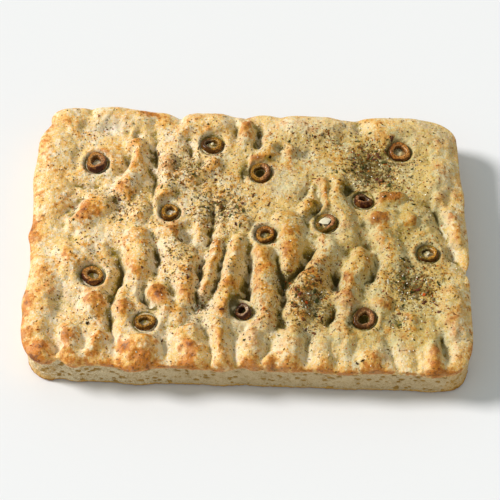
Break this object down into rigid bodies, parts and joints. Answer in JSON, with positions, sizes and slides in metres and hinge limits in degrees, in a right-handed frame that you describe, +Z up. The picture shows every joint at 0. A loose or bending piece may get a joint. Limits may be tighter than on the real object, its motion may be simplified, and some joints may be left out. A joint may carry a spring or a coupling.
{
  "type": "gluten-free focaccia",
  "caption": "Rectangular slab of gluten-free focaccia with a dimpled, ridged golden crust, pale crumb sides, dried herbs and sliced olive rings pressed into the top.",
  "frame": {"origin": "middle of the plan's box, on the underside that the bread rests on", "axes": "+X along the long side, +Y from the long side that shows towards the back, +Z up"},
  "size_m": [0.3008, 0.2136, 0.0396],
  "materials": {
    "crust": "baked pale golden crust, browner on the tips of its ridges, with a faint oily sheen",
    "crumb": "matt pale bread crumb with small pores",
    "olive": "wet, glossy olive slices, brown to green",
    "herbs": "dry, matt herb flakes, pepper and chilli"
  },
  "bodies": {
    "root": {"focaccia": "crust", "olive_ring_01": "olive", "olive_ring_02": "olive", "olive_ring_03": "olive", "olive_ring_04": "olive", "olive_ring_05": "olive", "olive_ring_06": "olive", "olive_ring_07": "olive", "olive_ring_08": "olive", "olive_ring_09": "olive", "olive_ring_10": "olive", "olive_ring_11": "olive", "olive_ring_12": "olive", "olive_ring_13": "olive"}
  },
  "joints": []
}
